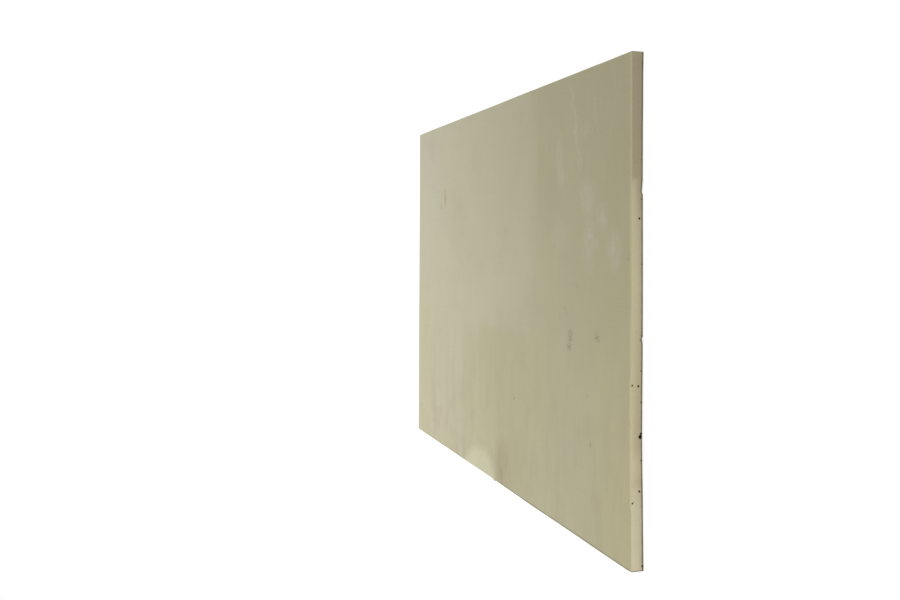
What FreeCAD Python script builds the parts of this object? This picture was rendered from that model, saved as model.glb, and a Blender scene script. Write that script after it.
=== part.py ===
# Faux stone wall panel: one moulded sheet of rigid foam, stones on one face, flat on the other.
# It lies stone face down. Origin: middle of the footprint on the floor. +X runs along the width,
# +Y along the height that the panel has on a wall, and +Z out of the flat back. Millimetres.
import FreeCAD, Part
import os
import Sketcher
from FreeCAD import Vector

doc = FreeCAD.newDocument("stone_wall_panel")

# Driving sizes.
sheet = doc.addObject("Spreadsheet::Sheet", "sizes")
SIZES = [
    # overall
    ("panel_width", 1194, "along X, joint to joint on the wall"),
    ("panel_height", 813, "along Y"),
    ("panel_thickness", 22, "flat back to the proudest stones"),
    # arrises
    ("back_round", 1.5, "arris between the back and the four edges"),
    ("stone_round", 1.5, "arris round each stone's face"),
    # stones, measured from the floor of the joints
    ("rise_full", 3, "the proudest stones, which touch the floor"),
    ("rise_middle", 2.4, "stones a little shallower"),
    ("rise_low", 1.9, "the shallowest stones"),
    ("joint_width", 9, "between two stones"),
    # bed joints: centre lines measured down from the +Y edge
    ("bed_one", 220, "under the first course"),
    ("bed_two", 451, "under the second course"),
    ("bed_three", 640, "between the two half courses"),
    # head joints: centre lines measured from the -X edge
    ("head_a_one", 352, "first course"),
    ("head_a_two", 796, "first course"),
    ("head_b_one", 236, "second course"),
    ("head_b_two", 560, "second course"),
    ("head_b_three", 894, "second course"),
    ("head_c_one", 428, "upper half course"),
    ("head_d_one", 204, "lower half course"),
    ("head_d_two", 590, "lower half course"),
    ("head_tall", 822, "beside the tall stone, two half courses high"),
]
for row, (alias, value, note) in enumerate(SIZES, start=1):
    sheet.set(f"A{row}", alias)
    sheet.set(f"B{row}", str(value))
    sheet.setAlias(f"B{row}", alias)
    sheet.set(f"C{row}", note)
doc.recompute()

# Each stone: its left and right head joint and its upper and lower bed joint. EDGE is the panel's edge.
EDGE = None
STONES = {
    "full": [
        (EDGE, "head_a_one", EDGE, "bed_one"),
        ("head_b_three", EDGE, "bed_one", "bed_two"),
        ("head_b_one", "head_b_two", "bed_one", "bed_two"),
        (EDGE, "head_d_one", "bed_three", EDGE),
        ("head_tall", EDGE, "bed_two", EDGE),
    ],
    "middle": [
        ("head_a_two", EDGE, EDGE, "bed_one"),
        (EDGE, "head_b_one", "bed_one", "bed_two"),
        ("head_c_one", "head_tall", "bed_two", "bed_three"),
        ("head_d_one", "head_d_two", "bed_three", EDGE),
    ],
    "low": [
        ("head_a_one", "head_a_two", EDGE, "bed_one"),
        ("head_b_two", "head_b_three", "bed_one", "bed_two"),
        (EDGE, "head_c_one", "bed_two", "bed_three"),
        ("head_d_two", "head_tall", "bed_three", EDGE),
    ],
}


def floor_sketch(body, name, level=""):
    """A sketch on the body's XY plane, lifted by the expression level, its origin in mid-panel."""
    plane = next(item for item in body.Origin.OriginFeatures if item.Role == "XY_Plane")
    sketch = body.newObject("Sketcher::SketchObject", name)
    sketch.AttachmentSupport = (plane, [""])
    sketch.MapMode = "FlatFace"
    if level:
        sketch.setExpression("AttachmentOffset.Base.z", level)
    return sketch


def add_rectangle(sketch, tag, left, right, low, high):
    """A closed rectangle whose four sides stand where the four expressions say."""
    first = sketch.GeometryCount
    corners = [Vector(0, 0), Vector(10, 0), Vector(10, 10), Vector(0, 10)]
    for start, end in zip(corners, corners[1:] + corners[:1]):
        sketch.addGeometry(Part.LineSegment(start, end), False)
    for side in range(4):
        sketch.addConstraint(Sketcher.Constraint(
            "Coincident", first + side, 2, first + (side + 1) % 4, 1))
    for side in (0, 2):
        sketch.addConstraint(Sketcher.Constraint("Horizontal", first + side))
        sketch.addConstraint(Sketcher.Constraint("Vertical", first + side + 1))
    places = [("DistanceX", 0, "left", left), ("DistanceX", 2, "right", right),
              ("DistanceY", 0, "low", low), ("DistanceY", 2, "high", high)]
    for kind, side, word, expression in places:
        point = corners[side]
        value = point.x if kind == "DistanceX" else point.y
        index = sketch.addConstraint(Sketcher.Constraint(kind, -1, 1, first + side, 1, value))
        sketch.renameConstraint(index, f"{word}_{tag}")
        sketch.setExpression(f"Constraints.{word}_{tag}", expression)


def add_pad(body, name, sketch, length):
    pad = body.newObject("PartDesign::Pad", name)
    pad.Profile = sketch
    pad.setExpression("Length", length)
    doc.recompute()
    return pad


def add_stones(body, level, stones):
    """Pads the stones of one level down from the joint floor, each half a joint clear of its lines."""
    half_joint = "sizes.joint_width / 2"
    sketch = floor_sketch(body, f"stone_outlines_{level}", "sizes.rise_full")
    for number, (left, right, upper, lower) in enumerate(stones):
        x_from = "-sizes.panel_width / 2" + (f" + sizes.{left} + {half_joint}" if left else "")
        x_to = (f"-sizes.panel_width / 2 + sizes.{right} - {half_joint}" if right
                else "sizes.panel_width / 2")
        y_from = (f"sizes.panel_height / 2 - sizes.{lower} + {half_joint}" if lower
                  else "-sizes.panel_height / 2")
        y_to = "sizes.panel_height / 2" + (f" - sizes.{upper} - {half_joint}" if upper else "")
        add_rectangle(sketch, number, x_from, x_to, y_from, y_to)
    pad = add_pad(body, f"stones_{level}", sketch, f"sizes.rise_{level}")
    pad.Reversed = True
    doc.recompute()
    return pad


def round_edges(body, name, base, picks, radius):
    fillet = body.newObject("PartDesign::Fillet", name)
    fillet.Base = (base, picks)
    fillet.setExpression("Radius", radius)
    doc.recompute()
    return fillet


def flat_faces(shape, up):
    """Names of the level faces that look up (or down)."""
    names = []
    for number, face in enumerate(shape.Faces, start=1):
        normal = face.normalAt(*[sum(pair) / 2 for pair in
                                 (face.ParameterRange[:2], face.ParameterRange[2:])])
        if face.Surface.TypeId == "Part::GeomPlane" and normal.z * (1 if up else -1) > 0.999:
            names.append((f"Face{number}", face))
    return names


# The panel.
body = doc.addObject("PartDesign::Body", "stone_panel")
body.Label = "stone_panel"

# the sheet itself, from the floor of the joints to the flat back
outline = floor_sketch(body, "outline", "sizes.rise_full")
add_rectangle(outline, "panel", "-sizes.panel_width / 2", "sizes.panel_width / 2",
              "-sizes.panel_height / 2", "sizes.panel_height / 2")
last = add_pad(body, "slab", outline, "sizes.panel_thickness - sizes.rise_full")

for level, stones in STONES.items():
    last = add_stones(body, level, stones)

# the arris of every stone, lying below the joint floor
stone_faces = [name for name, face in flat_faces(last.Shape, up=False)
               if face.CenterOfMass.z < sheet.rise_full - 0.01]
last = round_edges(body, "rounded_stones", last, stone_faces, "sizes.stone_round")

# the arris of the flat back
back_face = [name for name, face in flat_faces(last.Shape, up=True)]
last = round_edges(body, "rounded_back", last, back_face, "sizes.back_round")

body.Tip = last
body.Placement = FreeCAD.Placement()
doc.recompute()

# Checks and output.
stone_count = sum(len(stones) for stones in STONES.values())
for item in doc.Objects:
    if {"Invalid", "Error"} & set(item.State):
        raise RuntimeError(f"{item.Label} failed to rebuild: {item.State}")
if body.Shape.isNull() or not body.Shape.isValid() or len(body.Shape.Solids) != 1:
    raise RuntimeError("stone_panel is not one valid solid")
if len(stone_faces) != stone_count:
    raise RuntimeError(f"{len(stone_faces)} stone faces, not {stone_count}")

os.makedirs("parts", exist_ok=True)
body.Shape.exportStep(f"parts/{body.Label}.step")
box = body.Shape.BoundBox
print(f"{body.Label}: {box.XLength:.2f} x {box.YLength:.2f} x {box.ZLength:.2f} mm, "
      f"low corner z {box.ZMin:.3f}, volume {body.Shape.Volume / 1e6:.3f} litres, "
      f"{len(body.Shape.Faces)} faces")
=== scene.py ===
# Faux stone wall panel, laid stone face down: a moulded foam sheet with a smooth khaki back.
# Metres in the panel's own frame: +X along its width, +Y along its height, +Z out of the flat back.
import math
import bmesh
import bpy
import numpy as np
from mathutils import Matrix, Vector, noise


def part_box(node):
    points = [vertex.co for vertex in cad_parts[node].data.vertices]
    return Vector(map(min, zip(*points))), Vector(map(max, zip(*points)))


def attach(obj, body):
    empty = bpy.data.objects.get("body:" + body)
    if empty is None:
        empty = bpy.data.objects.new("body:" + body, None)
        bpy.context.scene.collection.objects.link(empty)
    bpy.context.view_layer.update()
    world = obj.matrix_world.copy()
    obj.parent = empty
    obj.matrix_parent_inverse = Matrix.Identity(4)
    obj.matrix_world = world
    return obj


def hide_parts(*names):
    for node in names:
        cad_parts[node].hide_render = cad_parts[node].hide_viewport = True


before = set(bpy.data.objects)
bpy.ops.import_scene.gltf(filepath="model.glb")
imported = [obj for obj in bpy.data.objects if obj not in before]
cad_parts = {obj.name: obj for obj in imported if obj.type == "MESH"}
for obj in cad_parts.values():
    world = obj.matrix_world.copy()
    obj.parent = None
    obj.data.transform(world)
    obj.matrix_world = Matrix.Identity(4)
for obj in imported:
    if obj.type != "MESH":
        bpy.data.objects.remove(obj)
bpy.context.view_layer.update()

mm = 0.001
touch = 1e-6    # metres; a point closer than this to a plane lies on it
low, high = (Vector(corner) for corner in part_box("stone_panel"))
halfWidth, halfHeight, thickness = high.x, high.y, high.z
print(f"frame loaded: panel {high.x - low.x:.3f} x {high.y - low.y:.3f} x {thickness:.3f} m")


def smooth(value, start, end):
    t = np.clip((value - start) / (end - start), 0, 1)
    return t * t * (3 - 2 * t)


def fractal(x, y, scale, seed, octaves=4):
    # noise between about -1 and 1 on points x, y; scale is the size of its largest lumps in metres
    return np.array([noise.fractal((a, b, seed), 0.9, 2.1, octaves) for a, b in zip(x / scale, y / scale)])


panel = {
    "cell": 4.5 * mm,         # grid of the stone face and the edges
    "backStep": 4,            # the back's grid is this many times coarser
    "wallCells": 5,           # up the edges, between the two arrises
    "fineCuts": 3,            # extra cuts on the end at +X, for its pits
    "arrisAngles": (45, 30, 15),
    "backRound": 1.5 * mm,
    "frontRound": 1.5 * mm,
    "jointWidth": 10 * mm,
    "jointDepth": 3.0 * mm,
    "jointWave": 0.4 * mm,    # unevenness of the joints' floor
    "arris": 9 * mm,          # how far in from its joint a stone is rounded over
    "outlineWander": 2.4 * mm,
    "wanderSize": 0.05,
    "tilt": 1.6 * mm,         # the most that a stone's face leans, in each metre
    "setBack": 0.5 * mm,      # of every stone, below the highest point
    "cleft": 1.1 * mm,        # relief of the split stones
    "cleftSize": 0.11,
    "grit": 0.30 * mm,
    "gritSize": 0.018,
    "backWave": 0.35 * mm,
    "backWaveSize": 0.35,
    "backSink": 0.8 * mm,     # the most that the back dips
    "edgeWave": 0.35 * mm,
    "edgeWaveSize": 0.12,
    "edgeReach": 0.03,        # how far in the edges' waves fade out
    "sag": 1.2 * mm,          # how far the -Y edge bulges near the +X end
    "sagStart": (0.02, 0.18),
    "sagEnd": (0.577, 0.595),
    "sagReach": 0.05,
    "seed": 17,
}

# joints between the stones: beds measured down from the +Y edge, heads from the -X edge, in mm
beds = {"one": 220, "two": 451, "three": 640}
heads = {"a1": 352, "a2": 796, "b1": 236, "b2": 560, "b3": 894, "c1": 428, "d1": 204, "d2": 590,
         "tall": 822}
# each stone's left and right head, upper and lower bed, and how far its face is set back in mm
stones = [
    (None, "a1", None, "one", 0.0), ("a1", "a2", None, "one", 1.1), ("a2", None, None, "one", 0.5),
    (None, "b1", "one", "two", 0.6), ("b1", "b2", "one", "two", 0.0),
    ("b2", "b3", "one", "two", 1.1), ("b3", None, "one", "two", 0.5),
    (None, "c1", "two", "three", 1.1), ("c1", "tall", "two", "three", 0.6),
    (None, "d1", "three", None, 0.0), ("d1", "d2", "three", None, 0.6),
    ("d2", "tall", "three", None, 1.1), ("tall", None, "two", None, 0.3),
]


def stoneRelief(x, y):
    # height of the stone face above the floor at each x, y, the stone there, and how far it is raised
    seed = panel["seed"]
    wander, size = panel["outlineWander"], panel["wanderSize"]
    px = x + wander * fractal(x, y, size, seed)
    py = y + wander * fractal(x, y, size, seed + 9)
    rough = panel["cleft"] * fractal(x, y, panel["cleftSize"], seed + 20, 5)
    rough += panel["grit"] * fractal(x, y, panel["gritSize"], seed + 31, 3)
    lift = panel["jointDepth"] + panel["jointWave"] * fractal(x, y, 0.03, seed + 40)
    rise = np.zeros(len(x))
    owner = np.full(len(x), -1)
    far = np.full(len(x), 10.0)    # where a stone reaches the panel's edge and has no joint
    spread = np.random.default_rng(seed)
    for number, (left, right, upper, lower, setBack) in enumerate(stones):
        gaps = [px + halfWidth - heads[left] * mm if left else far,
                heads[right] * mm - halfWidth - px if right else far,
                halfHeight - beds[upper] * mm - py if upper else far,
                py - halfHeight + beds[lower] * mm if lower else far]
        inside = np.min(gaps, axis=0) - panel["jointWidth"] / 2
        cover = np.sqrt(smooth(inside, -0.5 * mm, panel["arris"]))
        tiltX, tiltY = spread.uniform(-panel["tilt"], panel["tilt"], 2)
        face = setBack * mm + np.abs(tiltX * px + tiltY * py) + panel["setBack"] + rough
        rise = np.maximum(rise, cover * (lift - np.clip(face, 0, None)))
        owner[inside > 0] = number
    return np.clip(lift - rise, 0, None), owner, np.clip(rise / panel["jointDepth"], 0, 1)


# the stone arris at the +X end, where the stones were trimmed: how far it stands off the floor
endArris = {
    "bow": 1.5 * mm,
    "dipAt": -0.190, "dip": 1.3 * mm, "dipHalf": 0.085,
    "notchAt": 0.1845, "notch": 1.7 * mm, "notchRun": 22 * mm, "notchStep": 2.5 * mm,
    "chipAt": -0.0465, "chip": 3.0 * mm, "chipHalf": 2.4 * mm,
    "reach": 0.05,
}


def bell(value, middle, half):
    return np.exp(-((value - middle) / half) ** 2)


def endOffset(y):
    end = endArris
    bow = end["bow"] * np.clip(1 - np.abs(y / halfHeight) ** 6, 0, 1)
    dip = end["dip"] * bell(y, end["dipAt"], end["dipHalf"])
    # the notch deepens slowly towards -Y and ends in a step
    at = end["notchAt"]
    notch = end["notch"] * smooth(y, at + end["notchRun"], at) * smooth(y, at - end["notchStep"], at)
    chip = end["chip"] * bell(y, end["chipAt"], end["chipHalf"])
    return bow + dip + notch + chip


# holes left by burst bubbles in the +X end: y, z, radius and depth in mm
endPits = [
    (143.5, 8, 1.9, 1.7), (-117, 21, 2.0, 1.6), (-118.5, 9.5, 1.9, 1.6), (-197.5, 6.2, 3.2, 3.6),
    (-192.5, 5, 2.0, 1.8), (-282, 8, 1.8, 1.8), (-299.8, 20.2, 1.6, 1.3), (-298.4, 18.4, 1.3, 1.0),
    (237, 4, 1.2, 0.8), (174, 4.5, 1.3, 0.9), (72, 4, 1.4, 1.1), (-40, 4, 1.3, 1.1), (-95, 4.5, 1.5, 1.2),
    (-144, 4.5, 1.5, 1.2), (-234, 4.5, 1.6, 1.3), (-398, 3, 1.8, 1.4), (232, 12, 1.2, 0.6),
]


def arrisCuts(rounding):
    # how far in from the outer face the lines round an arris lie
    return [rounding * (1 - math.tan(math.radians(angle))) for angle in panel["arrisAngles"]]


def gridLines(start, end):
    # lines round both arrises, and between them even cells, their number a multiple of the back's
    rounding, multiple = panel["backRound"], panel["backStep"]
    cuts = arrisCuts(rounding)
    count = multiple * max(1, round((end - start - 2 * rounding) / panel["cell"] / multiple))
    inner = np.linspace(start + rounding, end - rounding, count + 1)
    return np.concatenate([[start + cut for cut in cuts], inner, [end - cut for cut in reversed(cuts)]])


backSlot, edgeSlot, stoneSlot = range(3)


def buildPanel():
    xs = gridLines(low.x, high.x)
    ys = gridLines(low.y, high.y)
    front, back = panel["frontRound"], panel["backRound"]
    zs = np.concatenate([arrisCuts(front),
                         np.linspace(front, thickness - back, panel["wallCells"] + 1),
                         [thickness - cut for cut in reversed(arrisCuts(back))]])
    nx, ny, nz = len(xs) - 1, len(ys) - 1, len(zs) - 1
    shell = bmesh.new()
    made = {}

    def corner(i, j, k):
        if (i, j, k) not in made:
            made[i, j, k] = shell.verts.new((xs[i], ys[j], zs[k]))
        return made[i, j, k]

    def face(points, slot):
        shell.faces.new([corner(*point) for point in points]).material_index = slot

    for i in range(nx):
        for j in range(ny):
            face([(i, j, 0), (i, j + 1, 0), (i + 1, j + 1, 0), (i + 1, j, 0)], stoneSlot)
    for k in range(nz):
        for i in range(nx):
            face([(i, 0, k), (i + 1, 0, k), (i + 1, 0, k + 1), (i, 0, k + 1)], edgeSlot)
            face([(i, ny, k), (i, ny, k + 1), (i + 1, ny, k + 1), (i + 1, ny, k)], edgeSlot)
        for j in range(ny):
            face([(0, j, k), (0, j, k + 1), (0, j + 1, k + 1), (0, j + 1, k)], edgeSlot)
            face([(nx, j, k), (nx, j + 1, k), (nx, j + 1, k + 1), (nx, j, k + 1)], edgeSlot)

    # the back: fine cells in the arris, coarse ones inside, stitched along their common border
    edge, step = len(panel["arrisAngles"]), panel["backStep"]
    for i in range(nx):
        for j in range(ny):
            if edge <= i < nx - edge and edge <= j < ny - edge:
                continue
            face([(i, j, nz), (i + 1, j, nz), (i + 1, j + 1, nz), (i, j + 1, nz)], edgeSlot)
    for i in range(edge, nx - edge, step):
        for j in range(edge, ny - edge, step):
            right, top = i + step, j + step
            ring = [(a, j) for a in (range(i, right) if j == edge else [i])]
            ring += [(right, b) for b in (range(j, top) if right == nx - edge else [j])]
            ring += [(a, top) for a in (range(right, i, -1) if top == ny - edge else [right])]
            ring += [(i, b) for b in (range(top, j, -1) if i == edge else [top])]
            face([(a, b, nz) for a, b in ring], backSlot)

    # finer cells on the +X end
    inEnd = [e for e in shell.edges if all(v.co.x > high.x - touch for v in e.verts)]
    bmesh.ops.subdivide_edges(shell, edges=inEnd, cuts=panel["fineCuts"], use_grid_fill=True)
    return shell


def shapePanel(points):
    # rounds the arrises of the plain grid, gives it its relief, and returns what the finishes read
    x, y, z = points.T
    marks = {"fromFront": z / mm}
    onEnd = x > high.x - touch
    front, back = panel["frontRound"], panel["backRound"]
    r = front + (back - front) * np.clip((z - front) / (thickness - back - front), 0, 1)
    inner = np.stack([np.clip(x, low.x + r, high.x - r), np.clip(y, low.y + r, high.y - r),
                      np.clip(z, r, thickness - r)], axis=1)
    out = points - inner
    length = np.linalg.norm(out, axis=1)
    scale = np.where(length > 1e-9, r / np.maximum(length, 1e-9), 0)
    x, y, z = (inner + out * scale[:, None]).T

    # stones below, a gently uneven back above; the edges share the difference out
    depth = np.clip(1 - z / thickness, 0, 1)
    relief, owner, marks["stoneShare"] = stoneRelief(x, y)
    nearEnd = smooth(x, high.x - endArris["reach"], high.x - 2 * mm)
    relief = relief * (1 - nearEnd) + endOffset(y) * nearEnd
    wave = panel["backWave"] * (fractal(x, y, panel["backWaveSize"], 3.3, 3) - 1)
    z = z + relief * depth + np.clip(wave, -panel["backSink"], 0) * (1 - depth)

    # edges that wander a little, and the bulge of the -Y edge
    bend, size, reach = panel["edgeWave"], panel["edgeWaveSize"], panel["edgeReach"]
    x = x + bend * fractal(y, np.sign(x), size, 5.1, 3) * smooth(np.abs(x), halfWidth - reach, halfWidth)
    y = y + bend * fractal(x, np.sign(y), size, 6.1, 3) * smooth(np.abs(y), halfHeight - reach, halfHeight)
    bulge = smooth(x, *panel["sagStart"]) * (1 - smooth(x, *panel["sagEnd"]))
    y = y - panel["sag"] * bulge * smooth(-y, halfHeight - panel["sagReach"], halfHeight)

    # where the pits lie, for the painted shade in them
    pit = np.zeros(len(x))
    for pitY, pitZ, radius, pitDepth in endPits:
        away = np.hypot(y - pitY * mm, z - pitZ * mm) / (radius * mm)
        x = x - onEnd * pitDepth * mm * np.clip(1 - away ** 2, 0, 1) ** 0.6
        pit = np.maximum(pit, onEnd * np.clip(1.25 - away, 0, 1) * min(1, pitDepth / 1.8))
    marks["pit"] = pit
    shades = np.random.default_rng(panel["seed"] + 1).random(len(stones) + 1)
    marks["stoneTone"] = shades[owner]
    return np.stack([x, y, z], axis=1), marks


def makePanel():
    shell = buildPanel()
    mesh = bpy.data.meshes.new("stoneSheet")
    bmesh.ops.recalc_face_normals(shell, faces=shell.faces)
    shell.to_mesh(mesh)
    shell.free()
    flat = np.zeros(len(mesh.vertices) * 3)
    mesh.vertices.foreach_get("co", flat)
    points, marks = shapePanel(flat.reshape(-1, 3))
    mesh.vertices.foreach_set("co", points.ravel())
    for name, values in marks.items():
        mesh.attributes.new(name, "FLOAT", "POINT").data.foreach_set("value", values)
    mesh.shade_smooth()
    mesh.update()
    piece = bpy.data.objects.new("stone_sheet", mesh)
    bpy.context.scene.collection.objects.link(piece)
    weigh = piece.modifiers.new("flatFaces", "WEIGHTED_NORMAL")
    weigh.weight = 50
    weigh.keep_sharp = True
    return piece


# a stub of foam left on the -Y edge where the mould was filled
gateStub = {"at": (-0.010, 0.0172), "size": (5.2 * mm, 3.8 * mm, 4.0 * mm), "rough": 0.15}


def makeStub():
    lump = bmesh.new()
    bmesh.ops.create_icosphere(lump, subdivisions=4, radius=1)
    for vert in lump.verts:
        vert.co *= 1 + gateStub["rough"] * noise.fractal(vert.co * 1.7, 0.9, 2.1, 3)
        vert.co = Vector(a * b for a, b in zip(vert.co, gateStub["size"]))
    x, z = gateStub["at"]
    lump.transform(Matrix.Translation((x, low.y, z)))
    mesh = bpy.data.meshes.new("gateStub")
    lump.to_mesh(mesh)
    lump.free()
    mesh.shade_smooth()
    piece = bpy.data.objects.new("gate_stub", mesh)
    bpy.context.scene.collection.objects.link(piece)
    return piece


class Wire:
    # one output socket; arithmetic on it adds Math nodes
    def __init__(self, finish, socket):
        self.finish = finish
        self.socket = socket

    def other(self, name):
        # another output of the same node
        return Wire(self.finish, self.socket.node.outputs[name])

    def __add__(self, other):
        return self.finish.maths("ADD", self, other)

    def __sub__(self, other):
        return self.finish.maths("SUBTRACT", self, other)

    def __rsub__(self, other):
        return self.finish.maths("SUBTRACT", other, self)

    def __mul__(self, other):
        return self.finish.maths("MULTIPLY", self, other)

    __radd__ = __add__
    __rmul__ = __mul__

    def ramp(self, start, end, to=(0, 1), kind="SMOOTHSTEP"):
        # from to[0] at start to to[1] at end; start may be the larger
        return self.finish.node("ShaderNodeMapRange", {"interpolation_type": kind}, {
            "Value": self, "From Min": start, "From Max": end, "To Min": to[0], "To Max": to[1]})

    def axis(self, name):
        return self.finish.node("ShaderNodeSeparateXYZ", None, {0: self}, name)


class Finish:
    def __init__(self, name):
        self.material = bpy.data.materials.new(name)
        self.material.use_nodes = True
        self.nodes = self.material.node_tree.nodes
        self.links = self.material.node_tree.links
        self.nodes.clear()
        place = self.node("ShaderNodeTexCoord", output="Object")
        self.place = self.node("ShaderNodeVectorMath", {"operation": "SCALE"},
                               {0: place, "Scale": 1000})   # millimetres from here on

    def node(self, kind, settings=None, inputs=None, output=0):
        made = self.nodes.new(kind)
        for name, value in (settings or {}).items():
            if name == "stops":
                self.setStops(made.color_ramp, value)
            else:
                setattr(made, name, value)
        for key, value in (inputs or {}).items():
            if isinstance(value, Wire):
                self.links.new(value.socket, made.inputs[key])
            else:
                made.inputs[key].default_value = value
        return Wire(self, made.outputs[output])

    def setStops(self, band, stops):
        while len(band.elements) < len(stops):
            band.elements.new(0.5)
        for element, (position, colour) in zip(band.elements, stops):
            element.position = position
            element.color = (*colour, 1)

    def axis(self, name):
        return self.place.axis(name)

    def attribute(self, name):
        return self.node("ShaderNodeAttribute", {"attribute_name": name}, output="Fac")

    def maths(self, operation, first, second):
        return self.node("ShaderNodeMath", {"operation": operation}, {0: first, 1: second})

    def shifted(self, distance):
        return self.node("ShaderNodeVectorMath", {"operation": "ADD"},
                         {0: self.place, 1: (distance, distance, distance)})

    def warp(self, size, reach):
        # the position pushed about by up to half of reach, in lumps of that size
        lumps = self.node("ShaderNodeMapping", {"vector_type": "TEXTURE"},
                          {0: self.place, "Scale": (size, size, size)})
        push = self.node("ShaderNodeTexNoise", None, {"Vector": lumps, "Scale": 1, "Detail": 3},
                         "Color")
        push = self.node("ShaderNodeVectorMath", {"operation": "SUBTRACT"}, {0: push, 1: (0.5, 0.5, 0.5)})
        push = self.node("ShaderNodeVectorMath", {"operation": "SCALE"}, {0: push, "Scale": reach})
        return self.node("ShaderNodeVectorMath", {"operation": "ADD"}, {0: self.place, 1: push})

    def noise(self, size, detail=4, rough=0.55, where=None, stretch=(1, 1, 1)):
        # size in mm of the largest lumps; stretch lengthens them along an axis
        where = self.node("ShaderNodeMapping", {"vector_type": "TEXTURE"},
                          {0: where or self.place, "Scale": tuple(size * s for s in stretch)})
        return self.node("ShaderNodeTexNoise", None, {
            "Vector": where, "Scale": 1, "Detail": detail, "Roughness": rough})

    def spot(self, centre, size, angle=0, soft=0.6, where=None):
        # an elliptical mask on the X-Y plane, in mm, 1 inside and falling away over the soft share
        local = self.node("ShaderNodeMapping", {"vector_type": "TEXTURE"}, {
            0: where or self.place, "Location": (*centre, 0), "Scale": (*size, 1e6),
            "Rotation": (0, 0, math.radians(angle))})
        away = self.node("ShaderNodeVectorMath", {"operation": "LENGTH"}, {0: local}, "Value")
        return away.ramp(1 - soft, 1 + soft * 0.4, (1, 0))

    def gathered(self, marks, soft, where):
        # one mask of a list of spots, each at its own strength
        total = 0
        for centre, size, angle, strength in marks:
            total = self.spot(centre, size, angle, soft, where) * strength + total
        return total

    def dots(self, density, edge, core):
        # scattered dots; edge and core are shares of the way to the next one
        away = self.node("ShaderNodeTexVoronoi", {"feature": "F1"},
                         {"Vector": self.place, "Scale": density})
        return away.ramp(edge, core)

    def mix(self, factor, first, second):
        sockets = {0: factor, 6: colour(first), 7: colour(second)}
        return self.node("ShaderNodeMix", {"data_type": "RGBA"}, sockets, 2)

    def bump(self, height, distance, normal=None):
        sockets = {"Height": height, "Distance": distance, "Strength": 1}
        if normal:
            sockets["Normal"] = normal
        return self.node("ShaderNodeBump", None, sockets)

    def shade(self, sockets):
        self.output(self.node("ShaderNodeBsdfPrincipled", None, sockets))
        return self.material

    def output(self, shader):
        end = self.nodes.new("ShaderNodeOutputMaterial")
        self.links.new(shader.socket, end.inputs["Surface"])


def linear(channel):
    channel /= 255
    return channel / 12.92 if channel <= 0.04045 else ((channel + 0.055) / 1.055) ** 2.4


def rgb(*channels):
    return tuple(linear(channel) for channel in channels)


def colour(value):
    return value if isinstance(value, Wire) else (*value, 1)


backSkin = {
    "base": rgb(183, 178, 146),
    "cloud": rgb(179, 173, 142),
    "hazeAndSheen": rgb(188, 183, 159),       # painted light and sheen towards the -X end; also the paler tone of the mould streaks
    "shade": rgb(162, 156, 125),      # painted shade: darker towards the +X, +Y corner, and at the -X, -Y corner under the softbox
    # painted shade towards the +X end
    "paintedEndShade": rgb(167, 161, 123),
    "sallow": rgb(183, 175, 135),
    "olive": rgb(177, 172, 136),
    "dust": rgb(168, 157, 134),
    "pale": rgb(194, 189, 160),
    "darkKhaki": rgb(158, 147, 116),
    "scuff": rgb(181, 173, 153),
    "arrisHighlight": rgb(184, 177, 141),        # painted highlight along the arris of the +X end
    "arrisHighlightLow": rgb(197, 187, 150),     # the same towards -Y
    "dirt": rgb(118, 108, 82),
    "rust": rgb(158, 133, 96),
    "roughness": 0.58,
    "skinBump": 0.16 * mm,
    "peelBump": 0.03 * mm,
}

# marks on the back, in mm: centre, half sizes, turn in degrees, strength
scuffs = [
    ((329, 254), (16, 52), 0, 0.75), ((381, 362), (8, 26), 2, 0.8),
    ((395, 307), (8, 41), 4, 0.9), ((410, 254), (10, 23), 8, 0.75),
    ((442, 184), (34, 34), 8, 0.85), ((449, 100), (29, 50), 3, 0.85),
    ((498, 146), (22, 26), 10, 0.8), ((537, 92), (26, 38), 0, 0.8),
    ((329, 116), (41, 30), 0, 0.4), ((437, 303), (22, 16), 0, 0.3),
    ((-236, -344), (62, 50), 0, 0.6), ((163, 232), (30, 66), 0, 0.3),
]
darkMarks = [
    ((375, -60), (10, 13), -20, 0.9), ((371, -80), (10, 8), 30, 0.9), ((480, -53), (12, 10), 0, 0.8),
    ((403, 31), (9, 4), -20, 0.5), ((353, -14), (3, 16), 35, 0.4), ((108, -213), (7, 4), 20, 0.8),
    ((455, -238), (5, 4), 0, 0.6), ((471, 298), (6, 4), 20, 0.45), ((586, 81), (5, 6), 0, 0.6),
    ((443, -156), (4, 3), 0, 0.5), ((33, 63), (18, 2), 8, 0.3),
]
rustMarks = [((-362, 221), (11, 22), 0, 0.5), ((-397, 200), (9, 9), 0, 0.35)]


# the painted highlight's colour, paler towards -Y
def arrisHighlightTone(y):
    return y.finish.mix(y.ramp(60, -220), backSkin["arrisHighlight"], backSkin["arrisHighlightLow"])


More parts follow.
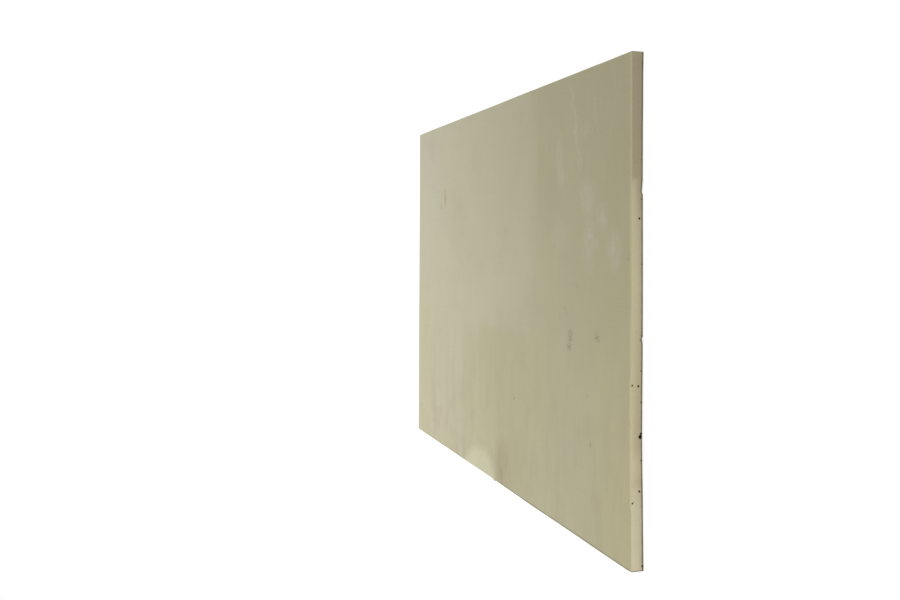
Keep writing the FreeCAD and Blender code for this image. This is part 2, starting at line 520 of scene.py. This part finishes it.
def backFinish():
    f = Finish("khaki_mould_skin")
    tone = backSkin
    x = f.axis("X")
    y = f.axis("Y")
    endX, edgeY = halfWidth / mm, halfHeight / mm
    # wandering copies of the position, for outlines that aren't straight
    loose = f.warp(55, 22)
    ragged = f.warp(9, 7)
    torn = f.warp(26, 30)
    broad = f.warp(170, 90)

    col = f.mix(f.noise(260, 3).ramp(0.4, 0.62), tone["base"], tone["cloud"])
    # painted light and sheen: paler towards the -X end, fading out towards -Y
    col = f.mix(x.ramp(250, -600) * y.ramp(-380, 200, (0, 0.85)), col, tone["hazeAndSheen"])
    # painted shade at the -X, -Y corner, toning down the softbox's light there
    col = f.mix(x.ramp(60, -600) * y.ramp(340, -380) * 0.6, col, tone["shade"])
    # painted shade: darker towards the +X end, more towards +Y
    col = f.mix(x.ramp(330, endX) * y.ramp(-406, 100, (0.25, 0.55)), col, tone["paintedEndShade"])
    col = f.mix(x.ramp(420, endX) * y.ramp(60, -300) * 0.5, col, tone["sallow"])
    # painted shade, darker towards the +X, +Y corner
    col = f.mix(y.ramp(-330, 420) * x.ramp(-420, 420) * 0.75, col, tone["shade"])
    # painted light: a soft edge of light and shade, paler on its -X side, from the -X end across to
    # mid-panel
    paintedLightEdge = loose.axis("X") + loose.axis("Y").ramp(0, 220, (0, 220), "SMOOTHERSTEP")
    col = f.mix(paintedLightEdge.ramp(-205, -240) * 0.4, col, tone["hazeAndSheen"])
    # a greyer field over the middle of the upper half, an olive one below it
    grey = broad.axis("X").ramp(235, 170) * broad.axis("Y").ramp(-120, -60) * x.ramp(-300, -180)
    col = f.mix(grey * 0.35, col, tone["hazeAndSheen"])
    olive = f.warp(40, 8).axis("X").ramp(-112, -102) * x.ramp(420, 80)
    olive = olive * loose.axis("Y").ramp(-330, -230, (0.5, 1)) * loose.axis("Y").ramp(-66, -96)
    col = f.mix(olive * 0.8, col, tone["olive"])
    dusty = f.noise(70, 4, 0.6, stretch=(1.2, 1, 1)).ramp(0.42, 0.68) * y.ramp(-190, -330)
    col = f.mix(dusty * x.ramp(60, -160) * 0.55, col, tone["dust"])
    col = f.mix(f.noise(110, 5, 0.6).ramp(0.52, 0.7) * 0.18, col, tone["dust"])

    # faint streaks along the width from the mould, and fainter ones down the height
    streak = f.noise(3.2, 3, 0.6, stretch=(14, 1, 1))
    col = f.mix(streak.ramp(0.35, 0.7) * 0.05, col, tone["hazeAndSheen"])
    col = f.mix(f.noise(10, 3, 0.6, stretch=(12, 1, 1)).ramp(0.5, 0.75) * 0.07, col, tone["darkKhaki"])
    drift = f.noise(34, 3, 0.55, stretch=(1, 4, 1)).ramp(0.44, 0.66)
    col = f.mix(drift * y.ramp(20, -300) * 0.34, col, tone["dust"])
    col = f.mix(f.noise(16, 3, 0.6, f.shifted(300), (1, 6, 1)).ramp(0.5, 0.7) * 0.08, col, tone["hazeAndSheen"])

    worn = f.noise(11, 5, 0.7, stretch=(1, 2, 1)).ramp(0.42, 0.58)
    rubbed = f.gathered(scuffs, 0.65, torn) * (worn * 0.7 + 0.3)
    col = f.mix(rubbed, col, tone["scuff"])

    # a darker patch and the pale rubbed arch at the -Y edge
    patchy = f.noise(18, 3, 0.6, f.shifted(700), (1, 4, 1)).ramp(0.35, 0.6, (0.55, 1))
    col = f.mix(f.spot((44, -372), (46, 66), 5, 0.9, loose) * patchy * 0.8, col, tone["darkKhaki"])
    col = f.mix(f.spot((112, -345), (70, 60), 0, 1, loose) * patchy * 0.3, col, tone["darkKhaki"])
    arch = f.spot((-106, -429), (114, 78), 13, 0.28, f.warp(30, 6))
    col = f.mix(arch * f.noise(45, 3).ramp(0.2, 0.5, (0.75, 1)), col, tone["pale"])

    grain = f.noise(3.5, 4, 0.75).ramp(0.46, 0.56)
    col = f.mix(f.gathered(darkMarks, 0.8, ragged) * grain * 0.85, col, tone["dirt"])
    col = f.mix(f.gathered(rustMarks, 0.95, ragged), col, tone["rust"])

    # a painted highlight along the arris of the +X end, narrower towards -Y, and a thin dark line on the
    # -Y arris
    arrisHighlight = x + y.ramp(-50, -200, (0, 1.5)) - y.ramp(-285, -325, (0, 5))
    arrisHighlight = arrisHighlight + f.noise(30, 3).ramp(0.3, 0.7, (-1.2, 1.2))
    col = f.mix(arrisHighlight.ramp(endX - 7, endX - 3.5) * y.ramp(240, 120, (0.55, 0.9)), col, arrisHighlightTone(y))
    rimStretch = x.ramp(-30, 30) + x.ramp(-190, -230) * 0.6
    rim = y.ramp(3.7 - edgeY, 1.7 - edgeY) * rimStretch * f.noise(45, 3).ramp(0.3, 0.55, (0.4, 1))
    col = f.mix(rim * 0.5, col, tone["dirt"])
    pinholes = f.dots(0.045, 0.045, 0.02)
    col = f.mix(pinholes * 0.5, col, tone["dirt"])

    normal = f.bump(f.noise(70, 3, 0.5, stretch=(3, 1, 1)), tone["skinBump"])
    normal = f.bump(f.noise(5, 3, 0.6) + streak * 0.6 - pinholes * 2, tone["peelBump"], normal)
    rough = f.noise(90, 4).ramp(0.3, 0.7, (tone["roughness"] - 0.05, tone["roughness"] + 0.06))
    return f.shade({"Base Color": col, "Roughness": rough + rubbed * 0.12, "Normal": normal,
                    "Specular IOR Level": 0.3})


edgeFoam = {
    "cream": rgb(184, 175, 146),
    "tan": rgb(172, 163, 134),
    "spray": rgb(157, 146, 121),      # brown mist of paint from the stone face
    "front": rgb(114, 103, 77),
    "deep": rgb(92, 82, 58),
    "bare": rgb(190, 184, 151),
    "grey": rgb(190, 185, 178),
    # painted shade in the pits
    "pit": rgb(36, 26, 17),
}
# foam showing on the +X end, from -Y to +Y: mm and colour
endTones = [(-406, rgb(187, 178, 151)), (-300, rgb(186, 178, 151)), (-282, rgb(183, 173, 145)),
            (-272, rgb(172, 162, 133)), (-262, rgb(178, 169, 140)), (-238, rgb(181, 172, 142)),
            (-212, rgb(169, 159, 129)), (-120, rgb(174, 164, 133)), (-50, rgb(176, 169, 137)),
            (40, rgb(182, 175, 145)), (150, rgb(178, 171, 141)),
            (200, rgb(171, 162, 133)), (209, rgb(160, 149, 123)),
            (300, rgb(157, 146, 121)), (406, rgb(157, 145, 120))]


def edgeFinish():
    f = Finish("foam_edge")
    tone = edgeFoam
    x = f.axis("X")
    y = f.axis("Y")
    wander = f.warp(18, 14).axis("Y")
    endX, edgeY, backZ = halfWidth / mm, halfHeight / mm, thickness / mm
    stops = [((at + edgeY) / (2 * edgeY), tint) for at, tint in endTones]
    along = wander.ramp(-edgeY, edgeY, kind="LINEAR")
    end = f.node("ShaderNodeValToRGB", {"stops": stops}, {"Fac": along})
    others = f.mix(f.noise(160, 3).ramp(0.38, 0.6), tone["tan"], tone["cream"])
    others = f.mix(f.noise(210, 4, 0.6, f.shifted(500)).ramp(0.5, 0.6) * 0.9, others, tone["spray"])
    col = f.mix(x.ramp(endX - 12, endX - 6), others, end)

    # bare foam towards the back, whose arris blends into the back's painted highlight
    fromFront = f.attribute("fromFront")
    col = f.mix(wander.ramp(208, 196) * fromFront.ramp(10, 19) * 0.40, col, tone["bare"])
    col = f.mix(fromFront.ramp(backZ - 1.4, backZ - 0.4) * 0.7, col, arrisHighlightTone(y))
    # the mist of paint thickens towards the stone arris and gathers there
    fade = fromFront + f.noise(6, 4, 0.6, stretch=(1, 2, 1)) * 2.4 - 1.2
    col = f.mix(fade.ramp(12, 2.5) * 0.45, col, tone["spray"])
    col = f.mix(wander.ramp(125, 185) * fade.ramp(15, 5) * 0.5, col, tone["spray"])
    col = f.mix(fade.ramp(4.4, 2.4), col, tone["front"])
    col = f.mix(f.noise(22, 4, 0.65).ramp(0.46, 0.6) * fade.ramp(3.6, 1.8), col, tone["deep"])

    # a dark line under the -Y edge, and a greyer stretch where the back is rubbed pale
    under = y.ramp(2.9 - edgeY, 1.3 - edgeY)
    underStretch = f.noise(40, 3).ramp(0.3, 0.5, (0.5, 1)) * (x.ramp(-20, 40) + x.ramp(-190, -230) * 0.6)
    col = f.mix(under * underStretch * 0.9, col, tone["deep"])
    chalky = under * fromFront.ramp(16, 19) * f.spot((-110, -406), (110, 40), 0, 0.3)
    col = f.mix(chalky * 0.7, col, tone["grey"])

    # fine cells of the foam, specks of paint, and painted shade in the pits
    cells = f.noise(2.2, 4, 0.7)
    col = f.mix(cells.ramp(0.56, 0.68) * 0.22, col, tone["spray"])
    specks = f.dots(0.12, 0.10, 0.05)
    col = f.mix(specks * 0.55, col, tone["front"])
    col = f.mix(f.attribute("pit").ramp(0.1, 0.5), col, tone["pit"])
    normal = f.bump(f.noise(14, 3), 0.25 * mm)
    normal = f.bump(cells - specks * 1.5, 0.12 * mm, normal)
    return f.shade({"Base Color": col, "Roughness": f.noise(12).ramp(0.3, 0.7, (0.68, 0.82)),
                    "Normal": normal, "Specular IOR Level": 0.25})


stonePaint = {
    "warm": rgb(164, 142, 112),
    "cool": rgb(132, 131, 127),
    "light": rgb(190, 178, 154),
    "ochre": rgb(158, 126, 84),
    "wash": rgb(86, 74, 60),
    "grout": rgb(100, 90, 77),
}


def stoneFinish():
    f = Finish("painted_stone")
    tone = stonePaint
    share = f.attribute("stoneShare")
    # each stone leans to one tone; mist, ochre veins and a dark wash lie over them all
    col = f.mix(f.attribute("stoneTone"), tone["warm"], tone["cool"])
    col = f.mix(f.noise(130, 4, 0.6).ramp(0.4, 0.65) * 0.5, col, tone["light"])
    veins = f.noise(75, 5, 0.7, f.warp(60, 50), (2.2, 1, 1)).ramp(0.54, 0.66)
    col = f.mix(veins * 0.35, col, tone["ochre"])
    col = f.mix(f.noise(24, 5, 0.65).ramp(0.5, 0.66) * 0.45, col, tone["wash"])
    col = f.mix(f.noise(4, 4, 0.7).ramp(0.5, 0.68) * 0.35, col, tone["light"])
    col = f.mix(share.ramp(0.9, 0.5) * 0.35, col, tone["wash"])
    col = f.mix(share.ramp(0.42, 0.12), col, tone["grout"])
    col = f.mix(f.noise(9, 4, 0.6).ramp(0.45, 0.6) * share.ramp(0.6, 0.1) * 0.6, col, tone["wash"])
    normal = f.bump(f.noise(34, 6, 0.62), 1.4 * mm)
    normal = f.bump(f.noise(3, 4, 0.7), 0.3 * mm, normal)
    return f.shade({"Base Color": col, "Roughness": f.noise(18).ramp(0.3, 0.7, (0.74, 0.9)),
                    "Normal": normal})


sheet = makePanel()
stub = makeStub()
for piece in (sheet, stub):
    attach(piece, "root")
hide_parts("stone_panel")
triangles = sum(len(polygon.vertices) - 2 for polygon in sheet.data.polygons)
print(f"panel shaped: {triangles} triangles")

skin = backFinish()
for material in (skin, edgeFinish(), stoneFinish()):    # in the order of backSlot, edgeSlot, stoneSlot
    sheet.data.materials.append(material)
stub.data.materials.append(skin)
print("finishes made")


studio = {
    "camera": (1.8988, 0.1005, 0.7431),
    "forward": (-0.95087, 0.01979, -0.30895),
    "up": (0.01753, 0.99980, 0.01009),
    "lens": 37.42,
    "shift": -0.0815,
    "worldStrength": 0.70,
    "floorReach": 30,
    "floorGrey": 0.80,     # as the light sees the floor
    "floorGlow": 0.80,     # as the camera sees it: this much glow, and a shade for the shadow to fall on
    "floorShade": 0.40,
    "lamps": [
        {"name": "softbox", "at": (-1.15, -0.70, 1.15), "towards": (-0.2, -0.1, 0),
         "size": 1.2, "power": 14},
        {"name": "endLight", "at": (2.2, -0.9, 0.35), "towards": (0.6, 0, 0),
         "size": 0.8, "power": 14},
    ],
}


def makeFloor():
    mesh = bpy.data.meshes.new("floor")
    reach = studio["floorReach"]
    mesh.from_pydata([(-reach, -reach, 0), (reach, -reach, 0), (reach, reach, 0), (-reach, reach, 0)],
                     [], [(0, 1, 2, 3)])
    floor = bpy.data.objects.new("floor", mesh)
    bpy.context.scene.collection.objects.link(floor)
    f = Finish("white_floor")
    # to the camera and in gloss the floor glows nearly white, and only the shadow on it shows
    path = f.node("ShaderNodeLightPath")
    seen = path.other("Is Camera Ray") + path.other("Is Glossy Ray")
    grey, shade = studio["floorGrey"], studio["floorShade"]
    plain = f.node("ShaderNodeBsdfDiffuse", None, {"Color": (grey, grey, grey, 1)})
    faint = f.node("ShaderNodeBsdfDiffuse", None, {"Color": (shade, shade, shade, 1)})
    glow = f.node("ShaderNodeEmission", None, {"Color": (1, 1, 1, 1), "Strength": studio["floorGlow"]})
    white = f.node("ShaderNodeAddShader", None, {0: faint, 1: glow})
    f.output(f.node("ShaderNodeMixShader", None, {0: seen, 1: plain, 2: white}))
    mesh.materials.append(f.material)


def makeWorld():
    world = bpy.data.worlds.new("studio")
    bpy.context.scene.world = world
    world.use_nodes = True
    tree = world.node_tree
    tree.nodes.clear()
    path = tree.nodes.new("ShaderNodeLightPath")
    soft = tree.nodes.new("ShaderNodeBackground")     # lights the panel
    white = tree.nodes.new("ShaderNodeBackground")    # what the camera sees
    for light in (soft, white):
        light.inputs["Color"].default_value = (1, 1, 1, 1)
    soft.inputs["Strength"].default_value = studio["worldStrength"]
    blend = tree.nodes.new("ShaderNodeMixShader")
    end = tree.nodes.new("ShaderNodeOutputWorld")
    tree.links.new(path.outputs["Is Camera Ray"], blend.inputs[0])
    tree.links.new(soft.outputs[0], blend.inputs[1])
    tree.links.new(white.outputs[0], blend.inputs[2])
    tree.links.new(blend.outputs[0], end.inputs["Surface"])


def makeLamp(name, at, towards, size, power):
    light = bpy.data.lights.new(name, "AREA")
    light.shape = "DISK"
    light.size = size
    light.energy = power
    lamp = bpy.data.objects.new(name, light)
    bpy.context.scene.collection.objects.link(lamp)
    lamp.location = at
    lamp.visible_glossy = False
    lamp.rotation_mode = "QUATERNION"
    lamp.rotation_quaternion = (Vector(towards) - Vector(at)).to_track_quat("-Z", "Y")


def makeCamera():
    data = bpy.data.cameras.new("camera")
    data.lens = studio["lens"]
    data.shift_y = studio["shift"]
    camera = bpy.data.objects.new("camera", data)
    bpy.context.scene.collection.objects.link(camera)
    forward = Vector(studio["forward"]).normalized()
    right = forward.cross(Vector(studio["up"])).normalized()
    up = right.cross(forward)
    turn = Matrix((right, up, -forward)).transposed()
    camera.matrix_world = Matrix.Translation(studio["camera"]) @ turn.to_4x4()
    bpy.context.scene.camera = camera


makeFloor()
makeWorld()
for lamp in studio["lamps"]:
    makeLamp(**lamp)
makeCamera()
bpy.context.scene.view_settings.view_transform = "Standard"
print("stage set")
